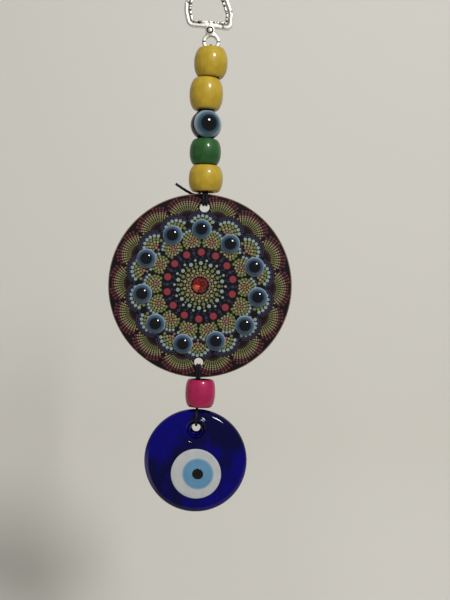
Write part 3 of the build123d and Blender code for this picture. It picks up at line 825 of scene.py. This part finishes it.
def knotted(name, body, node):
    """Overhand knot around a plain ball: the cord runs along a closed curve of three crossings.

    At angle t the curve is sine t plus twice sine 2t across, cosine t less twice cosine 2t
    deep, and minus 1.4 times sine 3t up.
    """
    centre = middle(node)
    reach = half_size(node)[0]
    t = all_round(150)
    curve = np.stack([np.sin(t) + 2 * np.sin(2 * t), np.cos(t) - 2 * np.cos(2 * t),
                      -1.4 * np.sin(3 * t)], 1)
    radius, core = reach * 0.32, reach * 0.72
    curve *= (reach - radius) / np.linalg.norm(curve, axis=1).max()
    mesh, crown = rope(curve + centre, radius, (0.1, 0.2, 1), closed=True)
    bow = np.linspace(0, math.pi, 24)
    ball = turned(core * np.stack([np.sin(bow), np.cos(bow)], 1), centre, 24, capped=True)
    piece(name, body, [mesh, ball], cord, (node,),
          carries={"crown": np.append(crown, np.zeros(len(ball[0])))}, crease=0)


knotted("knot", "knot", "upper_knot")
knotted("small_knot", "small_knot", "lower_knot")

# The cord's turn hangs from the eyelet's lowest wire and goes round it at an even distance.
HUNG = EYELET - RING
AROUND = WIRE + THICK_CORD + 0.1
THICK_APART, THIN_APART = 0.48, 0.42    # a doubled cord's strands lie this far from its middle
arch = np.linspace(-0.12, math.pi + 0.12, 40)
hook = np.stack([0 * arch, AROUND * np.cos(arch), HUNG + AROUND * np.sin(arch)], 1)
turn_run = bent([(0, THICK_APART, HUNG - 1.42), hook[0], *hook[1:-1:3], hook[-1],
                 (0, -THICK_APART, HUNG - 1.42)], [0.1] * 15)
strung("cord_turn", "string_turn", "upper_cord_bend", [turn_run], THICK_CORD)
low, high = heights("upper_cord_strands")
strung("cord_strands", "upper_string", "upper_cord_strands",
       [upright(0, y, low, high) for y in (-THICK_APART, THICK_APART)], THICK_CORD)
KNOT = middle("upper_knot")[2]
BOTTOM_EDGE, TOP_EDGE = heights("disc_board")
HALF_BOARD = 1.5


def disc_loop(x, knot, edge, seat, radius):
    """Run of a loop: from the knot over the disc's edge, through its hole and back."""
    out = 1 if knot > edge else -1
    clear, lie = 0.08, radius + 0.02
    face = HALF_BOARD + clear + radius
    return bent([(x, -lie, knot), (x, -face, edge + out * 0.35), (x, -face, seat),
                 (x, face, seat), (x, face, edge + out * 0.35), (x, lie, knot)],
                [0.8, 0.65, 0.65, 0.8])


low, high = heights("disc_top_loop")
strung("top_loop", "disc_loop", "disc_top_loop",
       [disc_loop(x, KNOT - 1.0, TOP_EDGE, low + THICK_CORD, THICK_CORD)
        for x in (-THICK_APART, THICK_APART)], THICK_CORD)
low, high = heights("disc_bottom_loop")
strung("bottom_loop", "lower_loop", "disc_bottom_loop",
       [disc_loop(x, low - 0.4, BOTTOM_EDGE, high - THIN_CORD, THIN_CORD)
        for x in (-THIN_APART, THIN_APART)], THIN_CORD)
low, high = heights("lower_cord_strands")
strung("lower_strands", "lower_string", "lower_cord_strands",
       [upright(x, 0, low, high) for x in (-THIN_APART, THIN_APART)], THIN_CORD)
GLASS_TOP = heights("nazar_body")[1]
SMALL_KNOT = middle("lower_knot")[2]
HOLE = GLASS_TOP - 6.8
glass_run = bent([(0, -0.40, SMALL_KNOT - 0.6), (0, -3.83, GLASS_TOP - 1.5),
                  (0, -3.83, HOLE + 2.2), (0, -0.75, HOLE + 1.5), (0, 2.93, HOLE + 1.5),
                  (0, 2.93, GLASS_TOP - 1.4), (0, 0.40, SMALL_KNOT - 0.6)],
                 [1.8, 1.4, 1.2, 0.65, 1.8])
strung("glass_cord_run", "glass_cord", "glass_loop", [glass_run], THIN_CORD)
# The cut end leaves the knot, dips under the bottom bead's lower face and rises behind the disc.
FOOT = KNOT - 1.2
under = FOOT - THICK_CORD - 0.17
behind = HALF_BOARD + THICK_CORD + 1.15
tail_run = bent([(-1.35, 0.3, KNOT - 0.5), (-2.2, behind, under), (-4.0, behind + 0.55, under),
                 (-7.0, behind + 0.85, under + 1.6), (-10.0, behind + 1.0, under + 3.5)],
                [1.3, 3.2, 12.0])
strung("cord_end", "knot", "cord_tail", [tail_run], THICK_CORD, (0.05, 0.1, 1))

# ---------------- disc

board = middle("disc_board")
board_reach = half_size("disc_board")[0]
for sheet, finish in (("disc_board", fibreboard(board, board_reach)),
                      ("disc_print", printed_ground(board))):
    nodes[sheet].data.materials.clear()
    nodes[sheet].data.materials.append(finish)

INKS = {
    "rose": (130, 50, 58), "claret": (92, 44, 50), "maroon": (70, 34, 40),
    "peach": (134, 106, 82), "cream": (136, 130, 90), "lime": (108, 112, 66),
    "green": (96, 114, 80), "mint": (132, 148, 140), "navy": (46, 50, 78), "plum": (62, 42, 56),
}
COUNT = 14
# The disc's cord holes: x, z and radius
HOLES = [(0, TOP_EDGE - 4.4, 1.65), (0, BOTTOM_EDGE + 4.9, 1.5)]


def on_ring(ring, phase, count=COUNT):
    """Evenly spaced places on a circle, and their bearings clockwise from the top."""
    bearing = (np.arange(count) + phase) * TURN / count
    return ring * np.stack([np.sin(bearing), np.cos(bearing)], 1), bearing


def rosette():
    """Rings of single dots around the stone: they grow outwards, ring between ring.

    A ring is (its radius, its dots' radius, ink, phase, how many times fourteen dots).
    """
    rings = (
        (3.3, 0.40, "peach", 0.0, 1), (3.3, 0.22, "cream", 0.5, 1), (4.15, 0.46, "cream", 0.5, 1),
        (4.15, 0.24, "peach", 0.0, 1), (5.1, 0.52, "cream", 0.0, 1), (5.1, 0.28, "lime", 0.5, 1),
        (6.2, 0.58, "lime", 0.5, 1), (6.1, 0.3, "green", 0.0, 1), (7.35, 0.64, "mint", 0.0, 1),
        (7.25, 0.34, "green", 0.5, 1), (8.35, 0.42, "mint", 0.5, 1), (8.55, 0.26, "navy", 0.0, 1),
        (9.3, 0.3, "navy", 0.25, 2), (10.0, 0.22, "plum", 0.5, 1), (10.9, 1.17, "rose", 0.0, 1),
        (10.75, 0.5, "navy", 0.5, 1), (11.75, 0.32, "plum", 0.5, 1), (12.5, 0.26, "navy", 0.25, 2),
    )
    for ring, size, ink, phase, times in rings:
        spots, _ = on_ring(ring, phase, COUNT * times)
        yield spots, np.full(len(spots), size), ink


def fans(ring, phase, arcs, covers, rays=0):
    """Fourteen fans on one circle, each drawn as arcs of dots around its own heart.

    An arc is (distance from the heart, dot radius, ink). Dots stay in their own fan's share
    of the circle and out of the covers, each given as (middles, radius). With rays, every
    arc has its dots on the same rays.
    """
    pitch, margin = 2.35, 1.15
    hearts, bearings = on_ring(ring, phase)
    for number, (away, size, ink) in enumerate(arcs):
        dots = rays or max(1, int(TURN * away / (pitch * size)))
        sweep = (np.arange(dots) + (0 if rays else 0.5 * (number % 2))) * TURN / dots
        local = away * np.stack([np.sin(sweep), np.cos(sweep)], 1)
        for heart, bearing in zip(hearts, bearings):
            facing = np.array([[math.cos(bearing), -math.sin(bearing)],
                               [math.sin(bearing), math.cos(bearing)]])
            spots = heart + local @ facing
            off = np.arctan2(spots[:, 0], spots[:, 1]) - bearing
            off = np.abs((off + math.pi) % TURN - math.pi)
            reach = np.linalg.norm(spots, axis=1)
            keep = off * reach < math.pi / COUNT * reach - size * margin
            for middles, radius in covers:
                gap = np.linalg.norm(spots[:, None] - middles[None], axis=-1).min(1)
                keep &= gap > radius + size
            yield spots[keep], np.full(int(keep.sum()), size), ink


def print_pattern():
    """The whole print: the rosette, two rows of fans, and fans of fine rays at the rim."""
    centre = np.zeros((1, 2))
    row_1 = ((0.0, 0.46, "peach"), (0.98, 0.34, "peach"), (1.75, 0.40, "cream"),
             (2.6, 0.46, "lime"), (3.5, 0.46, "mint"), (4.2, 0.24, "navy"))
    row_2 = ((0.0, 0.5, "peach"), (1.05, 0.38, "peach"), (1.9, 0.44, "cream"),
             (2.85, 0.5, "lime"), (3.9, 0.56, "mint"), (4.8, 0.34, "navy"),
             (5.5, 0.24, "plum"))
    fine = ["maroon"] * 2 + ["lime"] * 3 + ["cream"] * 2 + ["peach"] + ["claret"] * 2
    row_3 = [(3.0 * 1.115**step, 0.145 * 1.115**step, ink) for step, ink in enumerate(fine)]
    inner, outer, rim = (14.6, 0.5), (18.9, 0.0), (21.4, 0.5)
    hearts_1, hearts_2 = on_ring(*inner)[0], on_ring(*outer)[0]
    yield from rosette()
    yield from fans(*inner, row_1, [(centre, 12.4)])
    yield from fans(*outer, row_2, [(centre, 12.6), (hearts_1, 4.45)])
    yield from fans(*rim, row_3, [(hearts_2, 5.75), (hearts_1, 4.45)], 44)


def print_dots():
    """Every dot is a low ten-sided cap on the print's face, kept off the rim and the holes."""
    sides, foot, proud = 10, 0.004, 0.018
    groups = list(print_pattern())
    places = np.vstack([spots for spots, _, _ in groups])
    sizes = np.concatenate([radii for _, radii, _ in groups])
    colours = np.vstack([np.tile(paint(*INKS[ink]), (len(radii), 1))
                         for _, radii, ink in groups])
    out = np.linalg.norm(places, axis=1)
    spots = places + board[[0, 2]]
    clear = np.min([np.linalg.norm(spots - (x, z), axis=1) - hole for x, z, hole in HOLES], axis=0)
    keep = (out + sizes < board_reach - 0.4) & (clear > sizes + 0.05)
    spots, sizes, colours = spots[keep], sizes[keep], colours[keep]
    angle = all_round(sides)
    cap = np.vstack([np.stack([np.cos(angle), 0 * angle, np.sin(angle)], 1), np.zeros(3)])
    middles = np.stack([spots[:, 0], 0 * sizes, spots[:, 1]], 1)
    points = middles[:, None] + sizes[:, None, None] * cap
    points[..., 1] = box("disc_print")[0, 1] - np.array([foot] * sides + [proud])
    number = np.arange(sides)
    slopes = np.stack([number, np.roll(number, -1), np.full(sides, sides)], 1)
    start = np.arange(len(spots))[:, None] * (sides + 1)
    faces = (start[..., None] + slopes).reshape(-1, 3).tolist() + (start + number[::-1]).tolist()
    made = piece("print_dots", "disc", [(points.reshape(-1, 3), faces)], printed_dots(),
                 carries={"ink": np.repeat(colours, sides + 1, axis=0)}, smooth=False)


print_dots()

EYE_REACH, EYE_HEIGHT, EYE_RISE = 3.2, 2.2, 1.85
DOME = (EYE_REACH**2 + EYE_RISE**2) / (2 * EYE_RISE)


def dome(out):
    """Height of a glued eye's face at a distance from its middle: a cap of a ball of radius DOME."""
    return EYE_HEIGHT - DOME + np.sqrt(DOME**2 - out**2)


def glued_eyes():
    """Eyes of three layers under one dome: a pale rim, a blue ring and a black pupil."""
    pale, blue = (layered_resin(name, *tints) for name, tints in (
        ("eye_pale_resin", ((72, 94, 118), (88, 110, 132), (152, 168, 178))),
        ("eye_blue_resin", ((26, 38, 52), (48, 68, 90), (66, 88, 110)))))
    black = resin("eye_black_resin", (9, 11, 14), (16, 18, 21), board, 0.06)
    layers = (("rim", "body", 2.62, EYE_REACH, 0.0, pale),
              ("ring", "iris", 1.76, 2.66, 0.7, blue), ("dot", "pupil", 0.0, 1.8, 0.7, black))
    for number in range(1, 12):
        tag = f"eye_{number:02d}"
        seat = middle(tag + "_body")
        seat[1] = box(tag + "_body")[1, 1]
        for word, node, inner, outer, floor, finish in layers:
            span = np.linspace(outer, inner, 12)
            eye_layer(f"{tag}_{word}", "disc", f"{tag}_{node}", finish,
                      np.stack([span, dome(span)], 1), floor, seat, 48, crease=35)


glued_eyes()


def faceted_stone():
    """Round stone: rings of sixteen points joined by flat facets, a girdle and a flat table.

    Every facet has points of its own, and carries a painted glint, the light its foil back throws,
    strongest at the lower left.
    """
    seat = middle("centre_stone")
    seat[1] = box("centre_stone")[1, 1]
    angle = all_round(16)
    odd = np.arange(16) % 2
    top = 1.46
    # A ring's columns: the reach of its even points, that of its odd ones, and their heights
    rings = np.array([(2.46, 2.46, 0, 0), (2.49, 2.49, 0.5, 0.5), (2.0, 1.82, 0.95, 1.05),
                      (1.45, 1.33, top, top)])
    reach = np.where(odd, rings[:, 1:2], rings[:, :1])
    rise = np.where(odd, rings[:, 3:], rings[:, 2:3])
    grid = np.stack([reach * np.cos(angle), -rise, reach * np.sin(angle)], axis=-1) + seat
    table = seat + np.array([0, -top, 0])
    points, faces = web(grid, first=seat, last=table)
    apart = points[np.array([v for face in faces for v in face])]
    counts = np.array([len(face) for face in faces])
    groups = np.split(np.arange(len(apart)), np.cumsum(counts)[:-1])
    loose = [group.tolist() for group in groups]
    middle_of = np.array([apart[group].mean(0) for group in loose]) - seat
    # Painted glint: brightest on the facets at the lower left, with a little on others.
    away = np.hypot(middle_of[:, 0] + 1.2, middle_of[:, 2] + 0.8)
    painted_glint = 1.1 * bell(away, 1.0)
    painted_glint += 0.2 + 0.2 * np.sin(middle_of[:, 0] * 5.1 + middle_of[:, 2] * 3.7 + 0.8)
    piece("red_stone", "disc", [(apart, loose)], cut_stone(), ("centre_stone",),
          smooth=False, carries={"painted_glint": np.repeat(painted_glint, counts)})


faceted_stone()

# ---------------- glass eye

GLASS = middle("nazar_body")
GLASS[1] = 0
LENS = half_size("nazar_body")[0]
# How far the faces stand before and behind the cord's plane, first at the middle and then at
# the rim, and how far in from the edge the rim's rounding starts
FRONT, BACK, RIM_FRONT, RIM_BACK, ROUND = 3.35, 2.45, 2.6, 2.1, 2.4
BORE, MOUTH = 2.0, 3.9          # radii of the cord hole and of its funnel's mouth


def crowned(x, z, crown, rim):
    """Depth of a glass face: from its crown it falls to its rim as the distance squared."""
    out = np.hypot(x - GLASS[0], z - GLASS[2])
    return crown - (crown - rim) * (out / (LENS - ROUND)) ** 2


def lens_front(x, z):
    """Y of the glass's front face: nearly flat, and a little crowned at the middle."""
    return -crowned(x, z, FRONT, RIM_FRONT)


def glass_body():
    """Round lens with a cord hole near its top, whose front mouth is a funnel with a lip.

    Columns fan out from the hole to the rim. Rows go through the hole from back to front,
    out over the front face, around the edge as a half ellipse and back in over the back face.
    Inside, the hole narrows to a smaller circle that lies against its top, where the cord runs.
    """
    hole = np.array([0, HOLE])
    bearing = all_round(144)
    ray = np.stack([np.cos(bearing), np.sin(bearing)], 1)
    offset = hole - GLASS[[0, 2]]
    along = ray @ offset

    def reach(out):
        return -along + np.sqrt(along**2 - offset @ offset + out**2)

    def spot(out):
        return hole[0] + out * ray[:, 0], hole[1] + out * ray[:, 1]

    flat = LENS - ROUND
    edge_y = (RIM_BACK - RIM_FRONT) / 2
    rows = []
    for share in np.linspace(0, 1, 10):
        pinch = math.sin(math.pi * share) ** 0.6
        waist, lift = BORE - 0.65 * pinch, 0.75 * pinch
        out = lift * ray[:, 1] + np.sqrt(waist**2 - (lift * ray[:, 0]) ** 2)
        rows.append((out, 2.0 - 2.6 * share + 0 * bearing))
    for share in np.linspace(0.08, 1, 12):
        out = BORE + (MOUTH - BORE) * share**1.7 + 0 * bearing
        rows.append((out, -0.75 - 2.52 * share**0.75 + 0 * bearing))
    limit = reach(flat)
    for share in np.linspace(0.0, 1, 34) ** 1.5 * 0.99 + 0.01:
        out = 4.0 + (limit - 4.0) * share
        rows.append((out, lens_front(*spot(out)) - 0.3 * bell(out - 4.1, 0.5)))
    for swing in np.linspace(0.06, math.pi - 0.06, 25):
        out = reach(flat + ROUND * math.sin(swing))
        side = RIM_FRONT + edge_y if swing < math.pi / 2 else RIM_BACK - edge_y
        rows.append((out, edge_y - side * math.cos(swing) + 0 * bearing))
    for share in np.linspace(1, 0.02, 22):
        out = 2.5 + (limit - 2.5) * share
        rows.append((out, crowned(*spot(out), BACK, RIM_BACK)))
    rows.append((2.15 + 0 * bearing, 2.3 + 0 * bearing))
    out, y = (np.array(values) for values in zip(*rows))
    x, z = spot(out)
    grid = np.stack([x, y, z], axis=-1)
    piece("cobalt_glass_eye", "glass", [web(grid, close_rows=True)], cobalt_glass(GLASS, LENS),
          ("nazar_body",), crease=0)


glass_body()


def glass_dot(name, node, reach, proud, floor, finish, wobble):
    """Fused dot: follows the glass's face, stands a little proud and rounds off at its edge.

    Its edge's distance from its middle wavers, as the cosines of two and three times the angle.
    """
    centre = middle(node)
    angle = all_round(96)
    uneven = 0.6 * np.cos(2 * angle + 0.6) + 0.4 * np.cos(3 * angle + 2.0)
    edge = reach * (1 - wobble + wobble * uneven)
    share = np.concatenate([[1.0], np.linspace(1.0, 0.06, 24)])[:, None]
    out = edge[None] * share
    x, z = centre[0] + out * np.cos(angle), centre[2] + out * np.sin(angle)
    swell = proud * np.sqrt(np.clip(1 - ((share - 0.9) / 0.1).clip(0) ** 2, 0, 1))
    y = lens_front(x, z) - swell
    y[0] = lens_front(x[0], z[0]) + floor
    tip_y = float(lens_front(centre[0], centre[2]))
    first = np.array([centre[0], tip_y + floor, centre[2]])
    last = np.array([centre[0], tip_y - proud, centre[2]])
    mesh = web(np.stack([x, y, z], axis=-1), first=first, last=last)
    piece(name, "glass", [mesh], finish, (node,), crease=60)


opal = fused_glass("opal_white_glass", (178, 179, 177), (170, 172, 172), GLASS,
                   middle("nazar_blue"), (108, 142, 164))
sky = fused_glass("sky_blue_glass", (92, 136, 166), (86, 129, 159), GLASS)
jet = fused_glass("jet_glass", (18, 13, 12), (26, 21, 19), GLASS)
glass_dot("white_glass_dot", "nazar_white", 8.15, 0.10, 0.5, opal, 0.006)
glass_dot("blue_glass_dot", "nazar_blue", 4.85, 0.125, 0.4, sky, 0.012)
glass_dot("black_glass_dot", "nazar_pupil", 1.92, 0.15, 0.3, jet, 0.03)
